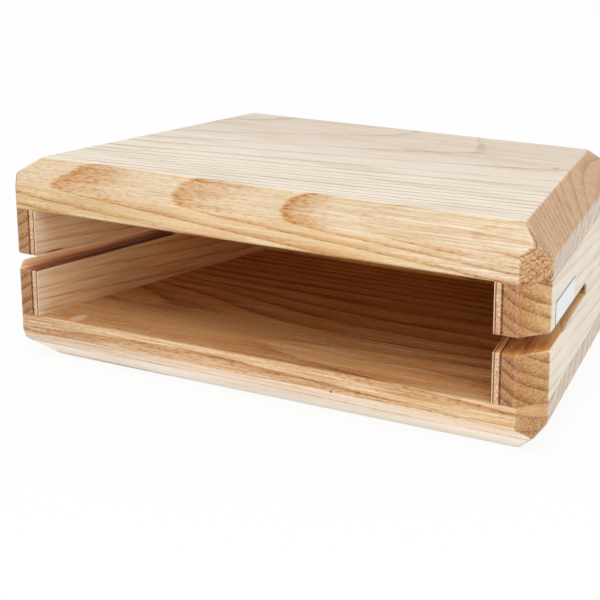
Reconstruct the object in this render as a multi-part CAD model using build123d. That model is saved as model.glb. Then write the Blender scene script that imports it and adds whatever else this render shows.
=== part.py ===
"""Hollow ash woodblock with an open mouth at the front and a sound slot in each side.

Two thick plates close a chamber between two slotted side rails and a back rail. Three-ply plywood lines
the side rails. The block narrows towards the back, and its bevels and corner cuts run across the glued pieces.

Millimetres. +Z is up, the mouth faces -Y, and the origin is on the resting surface under the block's middle.
"""
import os
from math import atan, cos, degrees, radians, sin, tan

from build123d import *

# Whole block
FRONT_WIDTH = 250.0  # along the front, to the corners as they were before they were cut off
DEPTH = 153.0  # front face to back face
HEIGHT = 89.0  # underside to top
SIDE_TAPER = 11.5  # degrees that each side turns inwards on its way back

# Boards
TOP_THICKNESS = 20.0
BOTTOM_THICKNESS = 23.0
SIDE_RAIL_THICKNESS = 16.0
BACK_RAIL_THICKNESS = 16.0

# Plywood lining, from the chamber outwards
FACE_PLY = 0.9
CORE_PLY = 1.8
BACK_PLY = 0.9

# Sound slot, open at the front and round at its inner end; its upper edge falls a little on the way in
SLOT_HEIGHT = 6.7  # at the front
SLOT_END_HEIGHT = 5.2
SLOT_LENGTH = 85.5  # along the side face, from the uncut front corner

# Bevels: how far each runs in over the flat face, and how far along the upright face
TOP_FRONT_BEVEL_IN = 13.5
TOP_FRONT_BEVEL_DOWN = 9.5
TOP_SIDE_BEVEL_IN = 11.5
TOP_SIDE_BEVEL_DOWN = 11.5
BOTTOM_FRONT_BEVEL_IN = 17.5
BOTTOM_FRONT_BEVEL_UP = 14.5
BOTTOM_SIDE_BEVEL_IN = 12.0
BOTTOM_SIDE_BEVEL_UP = 14.5

# Upright corner cuts, measured along the two faces that they join
CORNER_ON_FRONT = 10.5
CORNER_ON_SIDE = 12.0

# Sanding
EDGE_ROUND = 2.5  # outer edges of the glued block
SLOT_ROUND = 0.9  # the slots' outer edges
MOUTH_ARRIS = 0.8  # the plates' edges along the mouth

# Paper label on the right side, just above the slot
LABEL_FROM_CORNER = 17.5  # along the side face, from the uncut front corner
LABEL_ABOVE_SLOT = 1.0
LABEL_LENGTH = 39.0
LABEL_HEIGHT = 9.3
LABEL_THICKNESS = 0.2

# Worked out from the sizes above
TAPER = radians(SIDE_TAPER)
FRONT_Y = -DEPTH / 2
BACK_Y = DEPTH / 2
CHAMBER_BACK_Y = BACK_Y - BACK_RAIL_THICKNESS
CHAMBER_FLOOR_Z = BOTTOM_THICKNESS
CHAMBER_ROOF_Z = HEIGHT - TOP_THICKNESS
SLOT_FLOOR_Z = (CHAMBER_FLOOR_Z + CHAMBER_ROOF_Z - SLOT_HEIGHT) / 2
SLOT_END_RADIUS = SLOT_END_HEIGHT / 2
SLOT_STRAIGHT = SLOT_LENGTH - SLOT_END_RADIUS
SLOT_FALL = (SLOT_HEIGHT - SLOT_END_HEIGHT) / SLOT_STRAIGHT  # of the upper edge, for each millimetre along it
LINING = FACE_PLY + CORE_PLY + BACK_PLY
WALL = SIDE_RAIL_THICKNESS + LINING
OVERSHOOT = FRONT_WIDTH  # how far cutting shapes reach past the block

SIDE_OUTWARD = Vector(cos(TAPER), sin(TAPER), 0)
SIDE_BACKWARD = Vector(-sin(TAPER), cos(TAPER), 0)
SIDE_CORNER = Vector(FRONT_WIDTH / 2, FRONT_Y, 0)
SIDE_FACE = Plane(origin=SIDE_CORNER, x_dir=SIDE_BACKWARD, z_dir=SIDE_OUTWARD)


def side_x(y, inset=0.0):
    """Distance from the middle plane, at depth y, of the right side face or of a face inset from it."""
    return FRONT_WIDTH / 2 - (y - FRONT_Y) * tan(TAPER) - inset / cos(TAPER)


def prism(points, low, high):
    """Upright solid on a plan outline, between two heights."""
    outline = make_face(Polyline(*points, close=True))
    return extrude(Pos(0, 0, low) * outline, high - low)


def cut_beyond(solid, point, outward):
    """Take off what lies outside a plane."""
    return split(solid, bisect_by=Plane(origin=point, z_dir=outward), keep=Keep.BOTTOM)


def bevel(solid, face_point, face_outward, run_in, run_along, up):
    """Bevel the top edge (up = 1) or the bottom edge (up = -1) of one upright face."""
    edge_z = HEIGHT if up > 0 else 0.0
    on_flat_face = Vector(face_point.X, face_point.Y, edge_z) - face_outward * run_in
    slope = face_outward * run_along + Vector(0, 0, up * run_in)
    return cut_beyond(solid, on_flat_face, slope)


def outer_block():
    """The glued block from outside: tapered, bevelled above and below, its corners cut and its edges sanded."""
    back_half = side_x(BACK_Y)
    front_half = side_x(FRONT_Y)
    corners = [(-front_half, FRONT_Y), (front_half, FRONT_Y), (back_half, BACK_Y), (-back_half, BACK_Y)]
    block = prism(corners, 0, HEIGHT)

    left_outward = Vector(-SIDE_OUTWARD.X, SIDE_OUTWARD.Y, 0)
    left_corner = Vector(-SIDE_CORNER.X, SIDE_CORNER.Y, 0)
    ends = [(Vector(0, FRONT_Y, 0), Vector(0, -1, 0)), (Vector(0, BACK_Y, 0), Vector(0, 1, 0))]
    sides = [(SIDE_CORNER, SIDE_OUTWARD), (left_corner, left_outward)]
    for point, outward in ends:
        block = bevel(block, point, outward, TOP_FRONT_BEVEL_IN, TOP_FRONT_BEVEL_DOWN, 1)
        block = bevel(block, point, outward, BOTTOM_FRONT_BEVEL_IN, BOTTOM_FRONT_BEVEL_UP, -1)
    for point, outward in sides:
        block = bevel(block, point, outward, TOP_SIDE_BEVEL_IN, TOP_SIDE_BEVEL_DOWN, 1)
        block = bevel(block, point, outward, BOTTOM_SIDE_BEVEL_IN, BOTTOM_SIDE_BEVEL_UP, -1)

    back_corner = Vector(back_half, BACK_Y, 0)
    for corner, along_side in ((SIDE_CORNER, SIDE_BACKWARD), (back_corner, -SIDE_BACKWARD)):
        start = corner - Vector(CORNER_ON_FRONT, 0, 0)
        end = corner + along_side * CORNER_ON_SIDE
        across = end - start
        facing = 1 if along_side.Y > 0 else -1
        for side in (1, -1):
            outward = Vector(side * facing * across.Y, -facing * across.X, 0)
            block = cut_beyond(block, Vector(side * start.X, start.Y, 0), outward)
    return fillet(block.edges(), EDGE_ROUND)


def between(block, low, high):
    """The part of the block between two heights."""
    reach = OVERSHOOT
    return block & prism([(-reach, -reach), (reach, -reach), (reach, reach), (-reach, reach)], low, high)


def mouth_arris(plate_z, up):
    """Prism that eases a plate's edge along the mouth, from lining to lining."""
    half = side_x(FRONT_Y, WALL)
    triangle = Polyline(
        (-half, FRONT_Y, plate_z),
        (-half, FRONT_Y + MOUTH_ARRIS, plate_z),
        (-half, FRONT_Y, plate_z + up * MOUTH_ARRIS),
        close=True,
    )
    return extrude(make_face(triangle), 2 * half, dir=(1, 0, 0))


def top_plate(block):
    """Board above the chamber."""
    return between(block, CHAMBER_ROOF_Z, HEIGHT + OVERSHOOT) - mouth_arris(CHAMBER_ROOF_Z, 1)


def bottom_plate(block):
    """Board below the chamber."""
    return between(block, -OVERSHOOT, CHAMBER_FLOOR_Z) - mouth_arris(CHAMBER_FLOOR_Z, -1)


def slot_top_z(along):
    """Height of the slot's upper edge at a distance along the side face from the uncut front corner."""
    return SLOT_FLOOR_Z + SLOT_HEIGHT - SLOT_FALL * along


def side_slot():
    """Cutter for the right side's slot: it passes through rail and lining and ends in a half circle."""
    start = -OVERSHOOT
    profile = make_face(Polyline(
        (start, SLOT_FLOOR_Z),
        (SLOT_STRAIGHT, SLOT_FLOOR_Z),
        (SLOT_STRAIGHT, slot_top_z(SLOT_STRAIGHT)),
        (start, slot_top_z(start)),
        close=True,
    ))
    profile += Pos(SLOT_STRAIGHT, SLOT_FLOOR_Z + SLOT_END_RADIUS) * Circle(SLOT_END_RADIUS)
    return extrude(SIDE_FACE * profile, 2 * WALL, both=True)


def slotted(block):
    """The block with the right side's slot cut into it and the slot's outer edges sanded round."""
    skin = block.shell()
    cut = block - side_slot()
    low, high = SLOT_FLOOR_Z - SLOT_ROUND, SLOT_FLOOR_Z + SLOT_HEIGHT + SLOT_ROUND
    in_slot = cut.edges().filter_by_position(Axis.Z, low, high)
    outer = [edge for edge in in_slot if skin.distance_to(edge @ 0.5) < 0.001]
    return fillet(outer, SLOT_ROUND)


def right_layer(block, outer_inset, inner_inset, back_y):
    """Upright layer of the right wall, between two insets from the side face."""
    layer = [(side_x(y, inset), y) for inset, y in (
        (outer_inset, FRONT_Y - OVERSHOOT),
        (outer_inset, back_y),
        (inner_inset, back_y),
        (inner_inset, FRONT_Y - OVERSHOOT),
    )]
    return block & prism(layer, CHAMBER_FLOOR_Z, CHAMBER_ROOF_Z)


def back_rail(block):
    """Wall across the back, fitted between the side rails."""
    outline = [
        (side_x(CHAMBER_BACK_Y, SIDE_RAIL_THICKNESS), CHAMBER_BACK_Y),
        (side_x(BACK_Y + OVERSHOOT, SIDE_RAIL_THICKNESS), BACK_Y + OVERSHOOT),
        (-side_x(BACK_Y + OVERSHOOT, SIDE_RAIL_THICKNESS), BACK_Y + OVERSHOOT),
        (-side_x(CHAMBER_BACK_Y, SIDE_RAIL_THICKNESS), CHAMBER_BACK_Y),
    ]
    return block & prism(outline, CHAMBER_FLOOR_Z, CHAMBER_ROOF_Z)


def side_label():
    """Paper label on the right side face, stuck on along the slot's upper edge."""
    middle_along = LABEL_FROM_CORNER + LABEL_LENGTH / 2
    middle_z = slot_top_z(middle_along) + LABEL_ABOVE_SLOT + LABEL_HEIGHT / 2
    tilt = -degrees(atan(SLOT_FALL))
    outline = Pos(middle_along, middle_z) * Rot(0, 0, tilt) * Rectangle(LABEL_LENGTH, LABEL_HEIGHT)
    return extrude(SIDE_FACE * outline, LABEL_THICKNESS)


def build():
    """Every piece by its node name."""
    block = outer_block()
    wall = slotted(block)
    right_wall = {
        "rail": right_layer(wall, -OVERSHOOT, SIDE_RAIL_THICKNESS, BACK_Y + OVERSHOOT),
        "liner_back_ply": right_layer(wall, SIDE_RAIL_THICKNESS, SIDE_RAIL_THICKNESS + BACK_PLY, CHAMBER_BACK_Y),
        "liner_core_ply": right_layer(wall, SIDE_RAIL_THICKNESS + BACK_PLY, WALL - FACE_PLY, CHAMBER_BACK_Y),
        "liner_face_ply": right_layer(wall, WALL - FACE_PLY, WALL, CHAMBER_BACK_Y),
    }
    pieces = {
        "top_plate": top_plate(block),
        "bottom_plate": bottom_plate(block),
        "back_rail": back_rail(block),
        "side_label": side_label(),
    }
    for name, piece in right_wall.items():
        pieces["right_" + name] = piece
        pieces["left_" + name] = mirror(piece, about=Plane.YZ)
    return pieces


os.makedirs("parts", exist_ok=True)
for node, piece in build().items():
    export_step(piece, f"parts/{node}.step")
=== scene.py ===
"""Looks of a hollow ash woodblock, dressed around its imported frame.

The block is glued up from sanded and oiled ash boards, with three-ply plywood inside its side walls. The
frame has its shape, so this script gives each board the growth rings of its own tree. The rings are fields in
space, so the stripes, flames and end grain on a board's faces meet at its edges, as they do in real wood.

Inside the materials a place is in millimetres on the board's own axes: X along the grain, Z up. In the plates
and the back rail Y is the depth from the front. In the side walls it is the depth in from the outer face.
"""

import math

import bpy
from mathutils import Matrix, Vector


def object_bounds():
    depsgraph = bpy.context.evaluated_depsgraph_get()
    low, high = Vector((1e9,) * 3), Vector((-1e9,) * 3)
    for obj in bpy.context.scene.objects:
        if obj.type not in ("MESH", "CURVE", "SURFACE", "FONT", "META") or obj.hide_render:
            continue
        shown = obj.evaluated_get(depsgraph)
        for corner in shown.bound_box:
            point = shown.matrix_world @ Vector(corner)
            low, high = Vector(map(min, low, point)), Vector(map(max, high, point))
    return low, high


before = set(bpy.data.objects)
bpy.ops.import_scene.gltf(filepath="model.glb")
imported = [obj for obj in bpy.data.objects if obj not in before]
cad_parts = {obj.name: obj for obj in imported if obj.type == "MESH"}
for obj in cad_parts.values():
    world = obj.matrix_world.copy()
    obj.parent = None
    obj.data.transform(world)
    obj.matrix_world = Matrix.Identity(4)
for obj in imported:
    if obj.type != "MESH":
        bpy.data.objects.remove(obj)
cad_low, cad_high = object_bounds()

MM = 0.001  # metres
PER_METRE = 1000.0  # millimetres


def corners(node):
    """Lowest and highest corner of a CAD node's box, in millimetres."""
    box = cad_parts[node].bound_box
    return Vector(box[0]) / MM, Vector(box[6]) / MM


# The block, as the frame has it
FRONT_Y = cad_low.y / MM
TOP_Z = cad_high.z / MM
FLOOR_Z = corners("bottom_plate")[1].z  # of the chamber, where the walls are glued on
ROOF_Z = corners("top_plate")[0].z  # of the chamber, where the walls are glued on
SIDE_TAPER = math.radians(11.5)  # each side turns inwards by this on its way back
FRONT_HALF = 125.0  # half the front's width, to the corners as they were before they were cut off
SLOT_FALL = 0.0181  # of the slot's upper edge, for each millimetre along it
FACE_PLY_IN = 18.7  # from a wall's outer face to its face veneer
FACE_PLY = 0.9  # thickness of the face veneer

# Bevels and corner cuts: how far in over one face, and how far along the other
TOP_FRONT_BEVEL = (13.5, 9.5)
TOP_SIDE_BEVEL = (11.5, 11.5)
BOTTOM_FRONT_BEVEL = (17.5, 14.5)
BOTTOM_SIDE_BEVEL = (12.0, 14.5)
CORNER_CUT = (10.5, 12.0)

# Cosines of the turn away from the nearest flat face, where a sanded round begins and where it is full
ROUND_BEGINS = 0.995
ROUND_FULL = 0.965

# Boards' own axes: the mirror, turn and shift that put X along the grain
PLATE = {"flip": 1.0, "turn": 0.0, "shift": (0.0, -FRONT_Y, 0.0)}
WALL_TURN = -SIDE_TAPER - math.pi / 2
WALL_SHIFT = (
    FRONT_HALF * math.sin(SIDE_TAPER) - FRONT_Y * math.cos(SIDE_TAPER),
    FRONT_HALF * math.cos(SIDE_TAPER) + FRONT_Y * math.sin(SIDE_TAPER),
    0.0,
)
RIGHT_WALL = {"flip": 1.0, "turn": WALL_TURN, "shift": WALL_SHIFT}
LEFT_WALL = {"flip": -1.0, "turn": WALL_TURN, "shift": WALL_SHIFT}

# Label on the right wall
LABEL_LENGTH = 39.0
LABEL_HEIGHT = 9.3
LABEL_MIDDLE_X = 37.0
LABEL_MIDDLE_Z = 54.33
LABEL_LINE_IN = 0.45  # from the paper's upper edge to the middle of its dark line
LABEL_LINE_HALF = 0.3  # half that line's width
LABEL_FRONT_LINE = 2.2  # the front edge's line is this many times as wide
LABEL_CLOUD = 2.0  # size of the clouds that the paper's fibres lie in
LABEL_RELIEF = 0.02  # height of those clouds
LABEL_SOIL = 0.35  # share of soil at the cut edges
LABEL_ROUGHNESS = (0.45, 0.6)  # where the fibres lie close, and where they lie loose

# Camera, fitted to the block's edges in the photograph
IMAGE_SIZE = 600.0  # pixels
CAMERA_PLACE = Vector((337.8, -600.2, 240.2)) * MM
CAMERA_HEADING = -0.5317  # radians from +Y towards +X
CAMERA_PITCH = 0.2902  # radians below the horizon
CAMERA_ROLL = -0.0046  # radians
FOCAL_PIXELS = 1668.61
OPTICAL_CENTRE = (312.45, 279.92)  # pixels from the picture's top left corner
SENSOR_WIDTH = 36.0  # millimetres

# Wood at close range: length along the grain and width across it, in millimetres. Real ash pores are 0.2 mm
# wide, too fine for the picture, so they are drawn wider.
WAVE = (90.0, 22.0)
RAGGED = (5.0, 0.7)
FLUSH = (60.0, 8.0)
FIBRE = (30.0, 0.9)
PORE = (3.0, 0.7)
PORE_DEPTH = 0.15 * MM  # in metres, as the bump takes it

# How far the broad waves and the ragged edges move a ring, in rings
WAVE_SHIFT = 0.05
RAGGED_SHIFT = 0.025

# Spring wood through one ring, from where the year begins: share of the ring and darkness
SPRING = [(0, 0.0), (0.03, 0.7), (0.06, 1.0), (0.1, 0.85), (0.17, 0.65),
          (0.3, 0.48), (0.45, 0.22), (0.6, 0.06), (0.8, 0.0), (1, 0.0)]
FAINTEST_YEAR = 0.75  # spring wood of the weakest year, as a share of the strongest

# Shares and strengths in all the wood
PORE_NOISE = (0.05, 0.4)  # noise at which a pore begins, and at which it is fully open
SUMMER_PORES = 0.5  # pores of the pale summer wood, as a share of the spring wood's
FLUSH_STAIN = 0.3  # of the broad flushes of colour
SPRING_ROUGHNESS = 0.12  # added where the wood is brownest
EDGE_PALING = 0.05  # of the rounds: rubbed paler, and a painted highlight along them
EDGE_DULLING = 0.015  # roughness added on the rubbed rounds
GRAIN_RELIEF = 0.2  # strength of the bump
COAT_IOR = 1.5  # of dried oil, and of the paper's coating

# Mix nodes: their settings, and the sockets of the share and of what is mixed
COLOURS = {"output": 2, "data_type": "RGBA"}
VALUES = {"output": 0, "data_type": "FLOAT"}
SHARE = 0
OLD_COLOUR = 6
NEW_COLOUR = 7
OLD_VALUE = 2
NEW_VALUE = 3


def linear(colour):
    """Linear RGBA of an sRGB hex colour."""
    parts = [int(colour[i:i + 2], 16) / 255 for i in (1, 3, 5)]
    return [p / 12.92 if p <= 0.04045 else ((p + 0.055) / 1.055) ** 2.4 for p in parts] + [1.0]


def add(tree, kind, inputs=(), output=0, points=(), **settings):
    """Add one shader node and return an output.

    Inputs are values or sockets, in order or by name. Points shape a curve node's curve.
    """
    node = tree.nodes.new("ShaderNode" + kind)
    for name, value in settings.items():
        setattr(node, name, value)
    for place, value in inputs.items() if isinstance(inputs, dict) else enumerate(inputs):
        if isinstance(value, bpy.types.NodeSocket):
            tree.links.new(value, node.inputs[place])
        else:
            node.inputs[place].default_value = value
    if points:
        curve = node.mapping.curves[0]
        curve.points[0].location = points[0]
        curve.points[-1].location = points[-1]
        for point in points[1:-1]:
            curve.points.new(*point)
        for point in curve.points:
            point.handle_type = "AUTO_CLAMPED"
        node.mapping.update()
    return node.outputs[output] if node.outputs else node


def along(tree, value, points):
    """A socket that follows a curve through points of (value, result), level past the curve's ends."""
    first, last = points[0][0], points[-1][0]
    results = [result for _, result in points]
    least, most = min(results), max(results)
    share = add(tree, "MapRange", [value, first, last, 0.0, 1.0])
    shape = [((v - first) / (last - first), (r - least) / (most - least)) for v, r in points]
    bent = add(tree, "FloatCurve", {"Value": share}, points=shape)
    return add(tree, "MapRange", [bent, 0.0, 1.0, least, most])


def new_material(name):
    """An empty node material and its tree."""
    material = bpy.data.materials.new(name)
    material.use_nodes = True
    material.node_tree.nodes.clear()
    return material, material.node_tree


def board_axes(tree, flip, turn, shift):
    """Place in millimetres and surface direction, both on a board's own axes."""
    turned = (0.0, 0.0, turn)
    scale = (flip * PER_METRE, PER_METRE, PER_METRE)
    coordinates = add(tree, "TexCoord").node.outputs
    place = add(tree, "Mapping", [coordinates["Object"], shift, turned, scale])
    direction = {"Vector": coordinates["Normal"], "Rotation": turned, "Scale": (flip, 1.0, 1.0)}
    normal = add(tree, "Mapping", direction, vector_type="VECTOR")
    return place, normal


def streaks(tree, place, size, detail=2.0):
    """Noise drawn out along the grain, about -0.5 to 0.5, from its length and width in millimetres."""
    length, width = size
    drawn_out = add(tree, "VectorMath", [place, (1 / length, 1 / width, 1 / width)], operation="MULTIPLY")
    return add(tree, "TexNoise", {"Vector": drawn_out, "Scale": 1.0, "Detail": detail}, normalize=False)


def facing(tree, normal, direction, start=0.8, full=0.97, both_ways=False):
    """How squarely the surface faces a direction: 0 up to the start, 1 from the full cosine on."""
    square = add(tree, "VectorMath", [normal, direction], output="Value", operation="DOT_PRODUCT")
    if both_ways:
        square = add(tree, "Math", [square], operation="ABSOLUTE")
    return add(tree, "MapRange", [square, start, full, 0.0, 1.0], interpolation_type="SMOOTHSTEP")


def spot(tree, place, centre, reach, core=0.4):
    """1 inside an ellipsoid and 0 outside it, fading from its core out to its reach."""
    off = add(tree, "VectorMath", [place, centre], operation="SUBTRACT")
    off = add(tree, "VectorMath", [off, reach], operation="DIVIDE")
    distance = add(tree, "VectorMath", [off], output="Value", operation="LENGTH")
    return add(tree, "MapRange", [distance, core, 1.0, 1.0, 0.0], interpolation_type="SMOOTHSTEP")


def rounded_edges(tree):
    """1 on the sanded rounds between the block's flat faces, where the surface faces none of their ways.

    The block is alike left and right and front and back, so absolute directions cover all of its faces.
    """
    front = Vector((0.0, 1.0, 0.0))
    up = Vector((0.0, 0.0, 1.0))
    side = Vector((math.cos(SIDE_TAPER), math.sin(SIDE_TAPER), 0.0))
    flat_faces = [front, up, side]
    for upright, bevels in (
        (front, (TOP_FRONT_BEVEL, BOTTOM_FRONT_BEVEL)),
        (side, (TOP_SIDE_BEVEL, BOTTOM_SIDE_BEVEL)),
    ):
        for run_in, run_along in bevels:
            flat_faces.append(upright * run_along + up * run_in)
    on_front, on_side = CORNER_CUT
    for lean in (-on_side, on_side):
        across = on_side * math.cos(SIDE_TAPER)
        flat_faces.append(Vector((across, on_front + lean * math.sin(SIDE_TAPER), 0.0)))
    direction = add(tree, "TexCoord", output="Normal")
    direction = add(tree, "VectorMath", [direction], operation="ABSOLUTE")
    flat = 0.0
    for face in flat_faces:
        way = face.normalized()
        square = add(tree, "VectorMath", [direction, way], output="Value", operation="DOT_PRODUCT")
        flat = add(tree, "Math", [flat, square], operation="MAXIMUM")
    return add(tree, "MapRange", [flat, ROUND_BEGINS, ROUND_FULL, 0.0, 1.0])


# Growth rings: each function gives the ring number as a socket, from the place in the board


def top_plate_rings(tree, x, y, z):
    """Rings of the top plate.

    Ring surfaces climb from the front to the back, steeply behind the front bevel and then more and more
    gently, and they lean along x. On the bevel they lie almost in the bevel's own slope, a little hollow, so
    that each ring shows there as a flame with its tip to the left. At the back right they turn down again.
    Ring height = height above the bevel's foot - climb at this depth + lean.
    """
    bevel_in, bevel_drop = TOP_FRONT_BEVEL
    lean = 0.075  # millimetres of height for each along x
    turn_begins, turn_ends, turn_height = 105.0, 150.0, 9.0
    bevel_y = add(tree, "Math", [y, bevel_in], operation="MINIMUM")
    from_middle = add(tree, "MapRange", [bevel_y, 0.0, bevel_in, -1.0, 1.0])
    dish = add(tree, "Math", [from_middle, from_middle, -1.0], operation="MULTIPLY_ADD")
    hollow = along(tree, x, [(-125, 0.3), (-85, 0.3), (-40, 0.65), (15, 0.5), (48, 0.8), (125, 1.2)])
    hollow = add(tree, "Math", [hollow, dish], operation="MULTIPLY")
    tilt = along(tree, x, [(-125, 0.07), (-95, 0.07), (-40, 0.0), (125, 0.0)])
    tilt = add(tree, "Math", [tilt, bevel_y], operation="MULTIPLY")
    climb = along(tree, y, [(13.5, 0), (20, 7.3), (30, 18), (40, 26.8), (55, 37.3), (70, 45.7),
                            (85, 52.3), (105, 58), (118, 60.2), (130, 62.5), (153, 64)])
    turn_back = add(tree, "MapRange", [y, turn_begins, turn_ends, 0.0, turn_height],
                    interpolation_type="SMOOTHSTEP")
    turn_right = along(tree, x, [(-10, 0), (25, 0.5), (55, 1), (120, -0.4)])

    height = add(tree, "Math", [z, TOP_Z - bevel_drop], operation="SUBTRACT")
    height = add(tree, "Math", [x, lean, height], operation="MULTIPLY_ADD")
    height = add(tree, "Math", [bevel_y, -bevel_drop / bevel_in, height], operation="MULTIPLY_ADD")
    for sunk in (tilt, hollow, climb):
        height = add(tree, "Math", [height, sunk], operation="SUBTRACT")
    height = add(tree, "Math", [turn_back, turn_right, height], operation="MULTIPLY_ADD")
    return along(tree, height, [(-75, 2), (-55.6, 5), (-49.7, 6), (-42.4, 7), (-37, 8), (-32.4, 9),
                                (-25.2, 11), (-17.2, 13), (-12.6, 14), (-7.4, 15), (-2.35, 16),
                                (1.4, 17), (4.2, 18), (12, 20)])


def bottom_plate_rings(tree, x, y, z):
    """Rings of the bottom plate.

    Circles about a pith that lies above the board: distance from it, in rings of uneven width. The pith
    wanders back towards the left, but not near the front or far back. The tree thickens both ways from a
    waist, less so low in the board, which closes the flames on the chamber floor.
    """
    pith_y, pith_z = 17.0, 63.0
    wander_begins, wander_full = 5.0, 25.0
    wander_fades, wander_gone = 55.0, 100.0
    foot_z, high_z, foot_share = 8.0, 14.5, 0.2
    wander = along(tree, x, [(-100, 33), (-60, 21), (-25, 9.5), (0, 3.5), (25, 0.7), (50, 0), (125, 0)])
    begin = add(tree, "MapRange", [y, wander_begins, wander_full, 0.0, 1.0], interpolation_type="SMOOTHSTEP")
    fade = add(tree, "MapRange", [y, wander_fades, wander_gone, 1.0, 0.0], interpolation_type="SMOOTHSTEP")
    wander = add(tree, "Math", [wander, begin], operation="MULTIPLY")
    wander = add(tree, "Math", [wander, fade, pith_y], operation="MULTIPLY_ADD")
    across = add(tree, "Math", [y, wander], operation="SUBTRACT")
    below = add(tree, "Math", [pith_z, z], operation="SUBTRACT")
    offset = add(tree, "CombineXYZ", [across, below, 0.0])
    radius = add(tree, "VectorMath", [offset], output="Value", operation="LENGTH")
    high = add(tree, "MapRange", [z, foot_z, high_z, foot_share, 1.0], interpolation_type="SMOOTHSTEP")
    for swell, swell_fades, swell_gone in (
        ([(-125, -3.8), (-68, -1.1), (-34, 0)], 40.0, 90.0),
        ([(-34, 0), (0, -1.1), (50, -3.5), (125, -7)], 22.0, 58.0),
    ):
        near = add(tree, "MapRange", [y, swell_fades, swell_gone, 1.0, 0.0], interpolation_type="SMOOTHSTEP")
        share = add(tree, "Math", [near, high], operation="MULTIPLY")
        radius = add(tree, "Math", [along(tree, x, swell), share, radius], operation="MULTIPLY_ADD")
    return along(tree, radius, [(33, 0), (38.9, 1), (45.2, 2), (53.7, 3), (63, 4), (75, 5), (90.4, 6.5),
                                (132, 13.5), (170, 19.5)])


def rail_rings(tree, x, y, z):
    """Rings of a side rail: 4 to 7 mm apart, rising ever faster into the wall and sinking along it."""
    slope, bend, sink = 0.38, 0.012, 0.08  # for each millimetre
    steepness = add(tree, "Math", [y, bend, slope], operation="MULTIPLY_ADD")
    rise = add(tree, "Math", [y, steepness], operation="MULTIPLY")
    height = add(tree, "Math", [z, rise], operation="SUBTRACT")
    height = add(tree, "Math", [x, sink, height], operation="MULTIPLY_ADD")
    return along(tree, height, [(10, 0), (16.5, 1), (21, 2), (27.5, 3), (32, 4), (38.5, 5), (45, 6), (49, 7),
                                (55.5, 8), (60.5, 9), (67.5, 10), (72, 11), (78, 12), (84, 13)])


def back_rail_rings(tree, x, y, z):
    """Rings of the back rail: circles about a pith in front of it, evenly apart, drifting along x."""
    pith = (0.0, 90.0, 20.0)
    ring_width = 4.0
    drift = 0.03  # millimetres for each along x
    offset = add(tree, "CombineXYZ", [0.0, y, z])
    radius = add(tree, "VectorMath", [offset, pith], output="Value", operation="DISTANCE")
    drifted = add(tree, "Math", [x, drift, radius], operation="MULTIPLY_ADD")
    return add(tree, "Math", [drifted, ring_width], operation="DIVIDE")


def veneer_rings(tree, x, y, z):
    """Rings of a peeled veneer: lines along the wall, evenly apart, sinking a little on the way back."""
    ring_width = 5.0
    sink = 0.07  # millimetres for each along x
    sunk = add(tree, "Math", [x, sink, z], operation="MULTIPLY_ADD")
    return add(tree, "Math", [sunk, ring_width], operation="DIVIDE")


# Wood


def face_tones(tree, ways, normal, tones, regions):
    """A board's tones, as values or sockets, changed on the faces of each region in turn.

    A region is the faces that look one way. Ranges on the board's axes may bound it, each from none to full.
    """
    now = dict(tones, pale=linear(tones["pale"]), brown=linear(tones["brown"]))
    for region in regions:
        share = facing(tree, normal, **region["facing"])
        for axis, way in zip("xyz", ways):
            if axis in region:
                limits = [way, *region[axis], 0.0, 1.0]
                within = add(tree, "MapRange", limits, interpolation_type="SMOOTHSTEP")
                share = add(tree, "Math", [share, within], operation="MULTIPLY")
        for tone in ("pale", "brown"):
            if tone in region:
                mixed = {SHARE: share, OLD_COLOUR: now[tone], NEW_COLOUR: linear(region[tone])}
                now[tone] = add(tree, "Mix", mixed, **COLOURS)
        for tone in ("contrast", "sharp", "rough", "porous", "fibrous"):
            if tone in region:
                mixed = {SHARE: share, OLD_VALUE: now[tone], NEW_VALUE: region[tone]}
                now[tone] = add(tree, "Mix", mixed, **VALUES)
    return now


def spring_wood(tree, ring, sharp):
    """Spring wood: darkest where a ring begins, paling through the ring, and stronger in some years."""
    phase = add(tree, "Math", [ring], operation="FRACT")
    spring = along(tree, phase, SPRING)
    spring = add(tree, "Math", [spring, sharp], operation="POWER")
    number = add(tree, "Math", [ring], operation="FLOOR")
    year = add(tree, "TexWhiteNoise", {"W": number}, noise_dimensions="1D")
    year = add(tree, "MapRange", [year, 0.0, 1.0, FAINTEST_YEAR, 1.0])
    return add(tree, "Math", [spring, year], operation="MULTIPLY")


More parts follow.
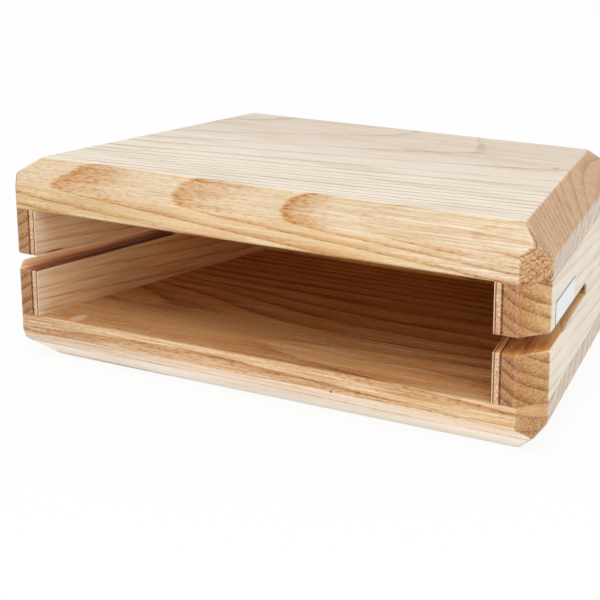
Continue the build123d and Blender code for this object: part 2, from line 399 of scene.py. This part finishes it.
def wood(name, rings, board, tones, regions=(), marks=()):
    """Sanded wood: pale summer wood between brown, porous spring lines.

    Sanding leaves a smooth, silky surface, so faces seen edge-on turn pale; on some faces that paleness is
    also painted into the colour, as a painted sheen. Cut vessels leave fine dashes along the grain and dots
    across it.
    A region gives some of the faces other tones, some of them painted light and shade. A mark stains a spot.
    """
    material, tree = new_material(name)
    place, normal = board_axes(tree, **board)
    ways = add(tree, "SeparateXYZ", [place]).node.outputs

    # Ring number, made uneven by broad waves and ragged along the grain
    ring = rings(tree, *ways)
    ring = add(tree, "Math", [streaks(tree, place, WAVE), WAVE_SHIFT, ring], operation="MULTIPLY_ADD")
    ring = add(tree, "Math", [streaks(tree, place, RAGGED), RAGGED_SHIFT, ring], operation="MULTIPLY_ADD")
    now = face_tones(tree, ways, normal, tones, regions)
    spring = spring_wood(tree, ring, now["sharp"])

    # Fibres, pores and broad flushes of colour
    fibre = streaks(tree, place, FIBRE)
    flush = streaks(tree, place, FLUSH)
    pore = add(tree, "MapRange", [streaks(tree, place, PORE, 1.0), *PORE_NOISE, 0.0, 1.0])
    open_grain = add(tree, "MapRange", [spring, 0.0, 1.0, SUMMER_PORES, 1.0])
    pore = add(tree, "Math", [pore, open_grain], operation="MULTIPLY")

    # Colour: fibres and pores deepen it
    stain = add(tree, "Math", [spring, now["contrast"]], operation="MULTIPLY")
    stain = add(tree, "Math", [flush, FLUSH_STAIN, stain], operation="MULTIPLY_ADD", use_clamp=True)
    tinted = {SHARE: stain, OLD_COLOUR: now["pale"], NEW_COLOUR: now["brown"]}
    colour = add(tree, "Mix", tinted, **COLOURS)
    depth = add(tree, "Math", [fibre, now["fibrous"], 1.0], operation="MULTIPLY_ADD")
    depth = add(tree, "Math", [pore, now["porous"], depth], operation="MULTIPLY_ADD")
    colour = add(tree, "Gamma", [colour, depth])
    for mark in marks:
        share = spot(tree, place, mark["centre"], mark["reach"])
        share = add(tree, "Math", [share, mark["strength"]], operation="MULTIPLY")
        stained = {SHARE: share, OLD_COLOUR: colour, NEW_COLOUR: linear(mark["colour"])}
        colour = add(tree, "Mix", stained, **COLOURS)

    # Wear and painted highlight: the sanded rounds are rubbed a little paler and duller, and their paling is
    # also a painted highlight
    edge = rounded_edges(tree)
    paling = add(tree, "Math", [edge, EDGE_PALING], operation="MULTIPLY")
    worn_and_highlit = {SHARE: paling, OLD_COLOUR: colour, NEW_COLOUR: linear("#F3E6D0")}
    colour = add(tree, "Mix", worn_and_highlit, **COLOURS)
    rough = add(tree, "Math", [stain, SPRING_ROUGHNESS, now["rough"]], operation="MULTIPLY_ADD")
    rough = add(tree, "Math", [edge, EDGE_DULLING, rough], operation="MULTIPLY_ADD")

    # Surface
    relief = add(tree, "Math", [pore, -1.0, fibre], operation="MULTIPLY_ADD")
    bump = add(tree, "Bump", {"Strength": GRAIN_RELIEF, "Distance": PORE_DEPTH, "Height": relief})
    look = {"Base Color": colour, "Roughness": rough, "IOR": COAT_IOR, "Normal": bump}
    surface = add(tree, "BsdfPrincipled", look)
    add(tree, "OutputMaterial", {"Surface": surface})
    return material


# Ways that a region's faces look, on the board's axes
BEVEL_WAY = Vector((0.0, -TOP_FRONT_BEVEL[1], TOP_FRONT_BEVEL[0])).normalized()
END_GRAIN = {"direction": (1.0, 0.0, 0.0), "start": 0.2, "full": 0.7, "both_ways": True}
CORNER = {"direction": (1.0, 0.0, 0.0), "start": 0.3, "full": 0.5, "both_ways": True}
PLATE_SIDE = {"direction": (1.0, 0.0, 0.0), "start": 0.87, "full": 0.96, "both_ways": True}
UP = {"direction": (0.0, 0.0, 1.0)}
DOWN = {"direction": (0.0, 0.0, -1.0)}
UP_OR_DOWN = {"direction": (0.0, 0.0, 1.0), "both_ways": True}
SLOPING_UP = {"direction": BEVEL_WAY, "start": 0.848, "full": 0.969}
SLOPING_DOWN = {"direction": (0.0, 0.0, -1.0), "start": 0.2, "full": 0.6}
FRONT = {"direction": (0.0, -1.0, 0.0)}
OUTWARD = {"direction": (0.0, -1.0, 0.0)}
INWARD = {"direction": (0.0, 1.0, 0.0)}
WALL_FRONT = {"direction": (-math.cos(SIDE_TAPER), math.sin(SIDE_TAPER), 0.0)}

# Tones of oiled ash, where no region changes them
OILED = dict(contrast=1.0, sharp=1.0, rough=0.3, porous=0.65, fibrous=0.35)

# End grain of the plates: it drinks more oil, so it is browner
PLATE_END = dict(facing=END_GRAIN, pale="#CBA06E", brown="#966537", contrast=0.6, sharp=1.3, rough=0.36,
                 porous=0.2, fibrous=0.25)
PLATE_BEVEL_END = dict(facing=END_GRAIN, y=(14.0, 30.0), pale="#C59A6A")
PLATE_CORNER = dict(facing=END_GRAIN, y=(13.0, 10.0), pale="#C2986A", contrast=0.9, porous=0.95, fibrous=0.7)
PLATE_FOOT = dict(facing=CORNER, y=(30.0, 25.0), z=(21.0, 13.0), pale="#B28453", brown="#8E5F33",
                  contrast=0.8, porous=0.4, fibrous=0.4)
# The plates' sides are painted paler than the rest of their end grain: a painted sheen
PLATE_SIDE_END_SHEEN = dict(facing=PLATE_SIDE, pale="#CFB08A", brown="#8E6A48", contrast=0.9, rough=0.2,
                      fibrous=0.3)

# End grain of the rails
RAIL_END = dict(facing=END_GRAIN, pale="#C99F6C", brown="#925C27", contrast=0.95, sharp=0.95, rough=0.4,
                porous=0.2, fibrous=0.3)
RAIL_LOW = dict(facing=END_GRAIN, z=(45.0, 38.0), pale="#BA905B", contrast=1.1)
RAIL_CORNER = dict(facing=END_GRAIN, y=(2.0, 10.0), pale="#B27F4A")
RAIL_FRONT = dict(facing=WALL_FRONT, pale="#AE8050", brown="#7E4A20")

# Faces of the slots: sawn, so rough, and brown; darker deep inside and at the slot's end, as painted shade
SAWN = dict(facing=UP_OR_DOWN, pale="#D49856", brown="#94602E", contrast=0.4, rough=0.9, porous=0.4,
            fibrous=0.5)
SAWN_BACK = dict(facing=UP_OR_DOWN, x=(14.0, 36.0), pale="#E4BE88", brown="#B08450")
SAWN_DEEP_SHADE = dict(facing=UP_OR_DOWN, y=(4.0, 15.0), pale="#CC8C44", brown="#844E20")
# Left slot: a lit copy of the right's, painted lighter as painted light, lightest near the front, with a
# painted highlight along its outer edge and painted shadow deep inside
LEFT_SAWN = dict(SAWN, pale="#F6C48A", brown="#B98456", contrast=0.6)
LEFT_SAWN_FRONT_LIGHT = dict(facing=UP_OR_DOWN, x=(35.0, 5.0), pale="#FFE2BC", brown="#D0A47C")
LEFT_SAWN_DEEP_SHADOW = dict(facing=UP_OR_DOWN, y=(9.0, 14.0), pale="#B8743C", brown="#8A4E24")
LEFT_SAWN_BACK_SHADOW = dict(LEFT_SAWN_DEEP_SHADOW, y=(5.0, 12.0), x=(40.0, 65.0))
LEFT_SAWN_EDGE_HIGHLIGHT = dict(facing=UP_OR_DOWN, y=(3.0, 0.5), pale="#FFF0D8", brown="#E8CCA8")
# The left plies' sawn faces are darker: partly their own darker edges, partly painted shade
LEFT_PLY_SAWN = dict(SAWN, pale="#8A4A1C", brown="#54290C")
# The far end of each slot: painted shade
SLOT_END_SHADE = dict(facing=WALL_FRONT, x=(50.0, 70.0), pale="#8A5628", brown="#5A3315", rough=0.9)

# Reach of a mark in the directions in which it has no end
ENDLESS = 10000.0


def joint(z):
    """A glued joint that shows as a fine brown line; 0.1 mm in life, drawn 0.5 mm high."""
    return dict(centre=(0.0, 0.0, z), reach=(ENDLESS, ENDLESS, 0.5), colour="#7A4E2A", strength=0.35)


JOINTS = [joint(FLOOR_Z), joint(ROOF_Z)]
GLUE_LINE = dict(centre=(0.0, FACE_PLY_IN, 0.0), reach=(ENDLESS, 0.7, ENDLESS), colour="#542C14",
                 strength=0.95)
# A short dark dash along the left slot's upper edge
UPPER_EDGE_DASH = dict(centre=(14.0, FACE_PLY_IN + FACE_PLY, 49.9), reach=(7.5, 2.0, 0.4), colour="#3E2010",
             strength=0.95)


def top_plate_ash():
    """Ash, planed, sanded and thinly oiled.

    Where a ring runs out through the bevel it shows as a brown flame. The top is painted paler, as a painted
    sheen, with fine grey-brown lines that fade towards the back. The roof of the chamber is left bare and is
    duller, and is painted a deeper orange as painted shade.
    """
    bevel = [
        dict(facing=SLOPING_UP, pale="#DAC19F", sharp=0.8),
        dict(facing=SLOPING_UP, x=(-60.0, -85.0), contrast=0.85),
        dict(facing=SLOPING_UP, x=(25.0, 55.0), pale="#D8C09E", contrast=0.2, porous=0.3, fibrous=0.6),
    ]
    front = [
        dict(facing=FRONT, pale="#DCBD92", brown="#BC8444", contrast=1.0, sharp=1.15, porous=0.3),
        dict(facing=FRONT, x=(40.0, 110.0), pale="#D8C1A2", contrast=1.2, porous=0.6, fibrous=0.6),
        dict(facing=FRONT, x=(-20.0, -110.0), pale="#D2B386", porous=0.5, fibrous=0.5),
    ]
    # The top: its pale colour is a painted sheen, toned down further back
    top = [
        dict(facing=UP, pale="#ECDDC6", brown="#A98A66", contrast=1.3, sharp=3.0, porous=0.3, fibrous=0.4),
        dict(facing=UP, y=(40.0, 75.0), pale="#E5D4BE", contrast=0.5),
        dict(facing=UP, y=(75.0, 110.0), pale="#D9C4AC"),
    ]
    # Roof of the chamber: painted a deeper orange, as painted shade
    roof = dict(facing=DOWN, pale="#E0B078", brown="#B57F4B", rough=0.7)
    fleck = dict(centre=(87.0, 98.0, TOP_Z), reach=(2.4, 1.8, 3.0), colour="#9A7B55", strength=0.6)
    return wood(
        "oiled ash, top plate", top_plate_rings, PLATE, dict(OILED, pale="#D6BD9A", brown="#C48E4C"),
        regions=[*bevel, *front, *top, roof, PLATE_END, PLATE_BEVEL_END, PLATE_CORNER, PLATE_SIDE_END_SHEEN],
        marks=[fleck, joint(ROOF_Z)],
    )


def bottom_plate_ash():
    """Ash, planed, sanded and thinly oiled.

    The lower bevel is painted almost white, with fine lines: painted light from the white table below it,
    darker high up and paler towards its foot. The chamber floor is left bare, so it is dull, and it is
    painted darker and more golden further back, as painted shade, with a pale streak near its front left
    corner.
    """
    front = [
        dict(facing=FRONT, pale="#D6B388", brown="#B27B44", contrast=0.8, porous=0.5, fibrous=0.7),
        dict(facing=FRONT, x=(-50.0, -100.0), pale="#C6A27A"),
    ]
    # Lower bevel: painted light from the white table below, darker high up and paler towards its foot
    bevel = [
        dict(facing=SLOPING_DOWN, pale="#FFF0DC", brown="#B98E60", contrast=0.7, sharp=3.0, porous=0.8,
             fibrous=0.9),
        dict(facing=SLOPING_DOWN, z=(6.0, 14.0), pale="#E8C9A4"),
        dict(facing=SLOPING_DOWN, z=(6.0, 14.0), x=(0.0, 80.0), pale="#F0D8B8"),
        dict(facing=SLOPING_DOWN, z=(8.0, 1.0), pale="#FFF5E4"),
        dict(facing=SLOPING_DOWN, z=(6.0, 14.5), x=(-20.0, -90.0), pale="#D9B68E"),
    ]
    underside = dict(facing=DOWN, pale="#DFC09A", brown="#B98A58", contrast=0.7, sharp=1.5, porous=0.4,
                     fibrous=0.4)
    # Chamber floor: painted darker and more golden further back, as painted shade
    floor = [
        dict(facing=UP, pale="#E8B47A", brown="#A9652F", contrast=0.8, rough=0.6, fibrous=0.7),
        dict(facing=UP, y=(25.0, 64.0), pale="#EA9F4E", brown="#9C5018", contrast=1.0),
        dict(facing=UP, y=(36.0, 18.0), x=(5.0, -30.0), contrast=0.2),
    ]
    paler = dict(centre=(-28.0, 24.0, FLOOR_Z), reach=(55.0, 24.0, 3.0), colour="#F0B878", strength=0.45)
    pit = dict(centre=(37.7, 0.0, 14.9), reach=(0.9, 4.0, 0.7), colour="#3A2412", strength=0.9)
    streak = dict(centre=(33.0, 0.0, 18.0), reach=(15.0, 2.0, 0.5), colour="#8A5526", strength=0.6)
    # A pale streak across the floor's front left corner
    pale_streak = dict(centre=(-88.5, 6.0, FLOOR_Z), reach=(4.0, 7.0, 1.0), colour="#FFE2C0", strength=0.9)
    return wood(
        "oiled ash, bottom plate", bottom_plate_rings, PLATE, dict(OILED, pale="#DDB98D", brown="#BE8850"),
        regions=[*front, *bevel, underside, *floor, PLATE_END, PLATE_FOOT, PLATE_SIDE_END_SHEEN],
        marks=[paler, pit, streak, pale_streak, joint(FLOOR_Z)],
    )


def back_rail_ash():
    """Ash, planed and sanded, oiled outside; inside it is bare, and painted golden as painted shade in the
    depth of the chamber.
    """
    inside = dict(facing=FRONT, pale="#E29C48", brown="#A0602C", rough=0.7)
    return wood(
        "oiled ash, back rail", back_rail_rings, PLATE, dict(OILED, pale="#DFC7A4", brown="#C08A52"),
        regions=[inside, RAIL_END], marks=JOINTS,
    )


def rail_ash(side, board, sawn):
    """Ash, sanded and oiled: pale on the outer side, brown on the cut front, with rough sawn slot faces."""
    outside = dict(facing=OUTWARD, contrast=0.65, sharp=1.6, porous=0.15, fibrous=0.5)
    return wood(
        f"oiled ash, {side} rail", rail_rings, board, dict(OILED, pale="#EBDDC6", brown="#C9A67C"),
        regions=[outside, RAIL_END, RAIL_LOW, RAIL_CORNER, RAIL_FRONT, *sawn, SLOT_END_SHADE], marks=JOINTS,
    )


def face_veneer(side, board, sawn, marks):
    """Face veneer of the plywood, peeled from the log and left bare: dull, with wide, faint lines."""
    # Inner face of the wall: painted darker further back as painted shade, and paler near the front as
    # painted light
    inside = [
        dict(facing=INWARD, x=(15.0, 90.0), pale="#D69A5E", brown="#A65C2A"),
        dict(facing=INWARD, x=(14.0, 3.0), pale="#DAC3A6"),
    ]
    end = dict(facing=END_GRAIN, pale="#E3BE98", brown="#C39A70")
    return wood(
        f"bare face veneer, {side}", veneer_rings, board,
        dict(OILED, pale="#D4AF84", brown="#B9744C", contrast=0.7, sharp=1.5, rough=0.65, porous=0.1,
             fibrous=0.3),
        regions=[*inside, end, sawn, SLOT_END_SHADE], marks=marks,
    )


def core_veneer(side, board, sawn):
    """Core veneer of the plywood, of which only the sawn edge shows: dull, pale and full of short fibres."""
    return wood(
        f"bare core veneer, {side}", veneer_rings, board,
        dict(OILED, pale="#CEA781", brown="#A87C56", contrast=0.3, rough=0.7, porous=0.4, fibrous=0.6),
        regions=[sawn, SLOT_END_SHADE],
    )


def back_veneer(side, board):
    """Back veneer of the plywood, soaked with glue: its sawn edge is a dull, dark line against the rail."""
    return wood(
        f"back veneer, dark with glue, {side}", veneer_rings, board,
        dict(OILED, pale="#7A4A28", brown="#4E2A12", rough=0.7),
    )


def label_paper():
    """White label paper, coated and matt, with a thin dark line along its front and upper edges.

    Its fibres lie in clouds, which show as faint changes of white and gloss. Its cut edges are a bit soiled.
    """
    material, tree = new_material("white label paper")
    place, _ = board_axes(tree, **RIGHT_WALL)
    x, _, z = add(tree, "SeparateXYZ", [place]).node.outputs
    off_x = add(tree, "Math", [x, LABEL_MIDDLE_X], operation="SUBTRACT")
    off_z = add(tree, "Math", [off_x, SLOT_FALL, z], operation="MULTIPLY_ADD")
    off_z = add(tree, "Math", [off_z, LABEL_MIDDLE_Z], operation="SUBTRACT")

    # Distance in from each edge
    inward = []
    for off, size in ((off_x, LABEL_LENGTH), (off_z, LABEL_HEIGHT)):
        inward.append(add(tree, "Math", [off, size / 2], operation="ADD"))
        inward.append(add(tree, "Math", [size / 2, off], operation="SUBTRACT"))
    from_front, from_back, from_foot, from_top = inward
    margin = add(tree, "Math", [from_back, from_foot], operation="MINIMUM")
    for edge in (from_front, from_top):
        margin = add(tree, "Math", [margin, edge], operation="MINIMUM")
    ruled = add(tree, "Math", [from_front, LABEL_FRONT_LINE], operation="DIVIDE")
    ruled = add(tree, "Math", [ruled, from_top], operation="MINIMUM")
    line = add(tree, "Math", [ruled, LABEL_LINE_IN, LABEL_LINE_HALF], operation="COMPARE")

    cloud = add(tree, "TexNoise", {"Vector": place, "Scale": 1 / LABEL_CLOUD, "Detail": 3.0})
    soiled = add(tree, "MapRange", [margin, 0.0, LABEL_LINE_IN, LABEL_SOIL, 0.0])
    colour = linear("#F7FAFB")
    for share, new in ((cloud, "#EBEEEF"), (soiled, "#C4BEB0"), (line, "#444C4A")):
        colour = add(tree, "Mix", {SHARE: share, OLD_COLOUR: colour, NEW_COLOUR: linear(new)}, **COLOURS)
    rough = add(tree, "MapRange", [cloud, 0.0, 1.0, *LABEL_ROUGHNESS])
    bump = add(tree, "Bump", {"Strength": 0.3, "Distance": LABEL_RELIEF * MM, "Height": cloud})
    look = {"Base Color": colour, "Roughness": rough, "IOR": COAT_IOR, "Normal": bump}
    surface = add(tree, "BsdfPrincipled", look)
    add(tree, "OutputMaterial", {"Surface": surface})
    return material


def dress(node, material):
    """Give a CAD node its material."""
    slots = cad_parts[node].data.materials
    slots.clear()
    slots.append(material)


dress("top_plate", top_plate_ash())
dress("bottom_plate", bottom_plate_ash())
dress("back_rail", back_rail_ash())
for side, board, sawn, ply_sawn, veneer_marks in (
    ("left", LEFT_WALL, [LEFT_SAWN, LEFT_SAWN_FRONT_LIGHT, LEFT_SAWN_DEEP_SHADOW, LEFT_SAWN_BACK_SHADOW, LEFT_SAWN_EDGE_HIGHLIGHT],
     LEFT_PLY_SAWN, [GLUE_LINE, UPPER_EDGE_DASH]),
    ("right", RIGHT_WALL, [SAWN, SAWN_BACK, SAWN_DEEP_SHADE], SAWN, [GLUE_LINE]),
):
    dress(f"{side}_rail", rail_ash(side, board, sawn))
    dress(f"{side}_liner_face_ply", face_veneer(side, board, ply_sawn, veneer_marks))
    dress(f"{side}_liner_core_ply", core_veneer(side, board, ply_sawn))
    dress(f"{side}_liner_back_ply", back_veneer(side, board))
dress("side_label", label_paper())


def studio_camera():
    """The photograph's camera: forward from heading and pitch, then rolled about its own axis."""
    forward = Vector((
        math.sin(CAMERA_HEADING) * math.cos(CAMERA_PITCH),
        math.cos(CAMERA_HEADING) * math.cos(CAMERA_PITCH),
        -math.sin(CAMERA_PITCH),
    ))
    level = Vector((math.cos(CAMERA_HEADING), -math.sin(CAMERA_HEADING), 0.0))
    down = forward.cross(level)
    right = level * math.cos(CAMERA_ROLL) - down * math.sin(CAMERA_ROLL)
    up = -(level * math.sin(CAMERA_ROLL) + down * math.cos(CAMERA_ROLL))
    lens = bpy.data.cameras.new("camera")
    lens.sensor_width = SENSOR_WIDTH
    lens.lens = FOCAL_PIXELS / IMAGE_SIZE * SENSOR_WIDTH
    lens.shift_x = 0.5 - OPTICAL_CENTRE[0] / IMAGE_SIZE
    lens.shift_y = OPTICAL_CENTRE[1] / IMAGE_SIZE - 0.5
    camera = bpy.data.objects.new("camera", lens)
    turn = Matrix((right, up, -forward)).transposed().to_4x4()
    camera.matrix_world = Matrix.Translation(CAMERA_PLACE) @ turn
    bpy.context.scene.collection.objects.link(camera)
    bpy.context.scene.camera = camera


def softbox(name, place, target, size, strength):
    """A large square lamp that faces a point; metres and watts."""
    lamp = bpy.data.lights.new(name, "AREA")
    lamp.shape = "SQUARE"
    lamp.size = size
    lamp.energy = strength
    softbox_object = bpy.data.objects.new(name, lamp)
    facing_turn = (Vector(target) - Vector(place)).to_track_quat("-Z", "Y")
    softbox_object.matrix_world = Matrix.Translation(place) @ facing_turn.to_matrix().to_4x4()
    bpy.context.scene.collection.objects.link(softbox_object)


def seen_directly(tree):
    """1 for rays from the camera and for reflections, 0 for the light that falls on the block."""
    path = add(tree, "LightPath").node.outputs
    seen = add(tree, "Math", [path["Is Camera Ray"], path["Is Glossy Ray"]], operation="MAXIMUM")
    return add(tree, "Math", [seen, path["Is Transmission Ray"]], operation="MAXIMUM")


def studio_floor(half, glow):
    """A white table top under the block, painted matt, so that only the block's soft shadow shows on it.

    A share of even white washes it out where it is seen, as in the photograph.
    """
    low = -0.1 * MM  # clear of the block's underside, so that the two faces don't flicker
    outline = [(-half, -half, low), (half, -half, low), (half, half, low), (-half, half, low)]
    mesh = bpy.data.meshes.new("floor")
    mesh.from_pydata(outline, [], [(0, 1, 2, 3)])
    material, tree = new_material("white table")
    table = add(tree, "BsdfDiffuse", [linear("#FBFBFB")])
    white = add(tree, "Emission", [linear("#FFFFFF"), 1.0])
    share = add(tree, "Math", [seen_directly(tree), glow], operation="MULTIPLY")
    surface = add(tree, "MixShader", [share, table, white])
    add(tree, "OutputMaterial", {"Surface": surface})
    mesh.materials.append(material)
    floor = bpy.data.objects.new("floor", mesh)
    bpy.context.scene.collection.objects.link(floor)


def studio_world(soft):
    """White surroundings, at full strength for the camera and reflections, that light the block softly."""
    world = bpy.data.worlds.new("white surroundings")
    bpy.context.scene.world = world
    world.use_nodes = True
    tree = world.node_tree
    tree.nodes.clear()
    strength = add(tree, "MapRange", [seen_directly(tree), 0.0, 1.0, soft, 1.0])
    light = add(tree, "Background", [linear("#FFFFFF"), strength])
    add(tree, "OutputWorld", [light])


studio_camera()
studio_floor(half=3.0, glow=0.92)
studio_world(soft=0.7)
softbox("key softbox", place=(0.5, -0.9, 1.5), target=(0.0, 0.0, 0.05), size=1.0, strength=12.0)
softbox("low reflector", place=(0.4, -0.85, 0.12), target=(0.0, -0.06, 0.03), size=0.6, strength=2.0)
bpy.context.scene.view_settings.view_transform = "Standard"
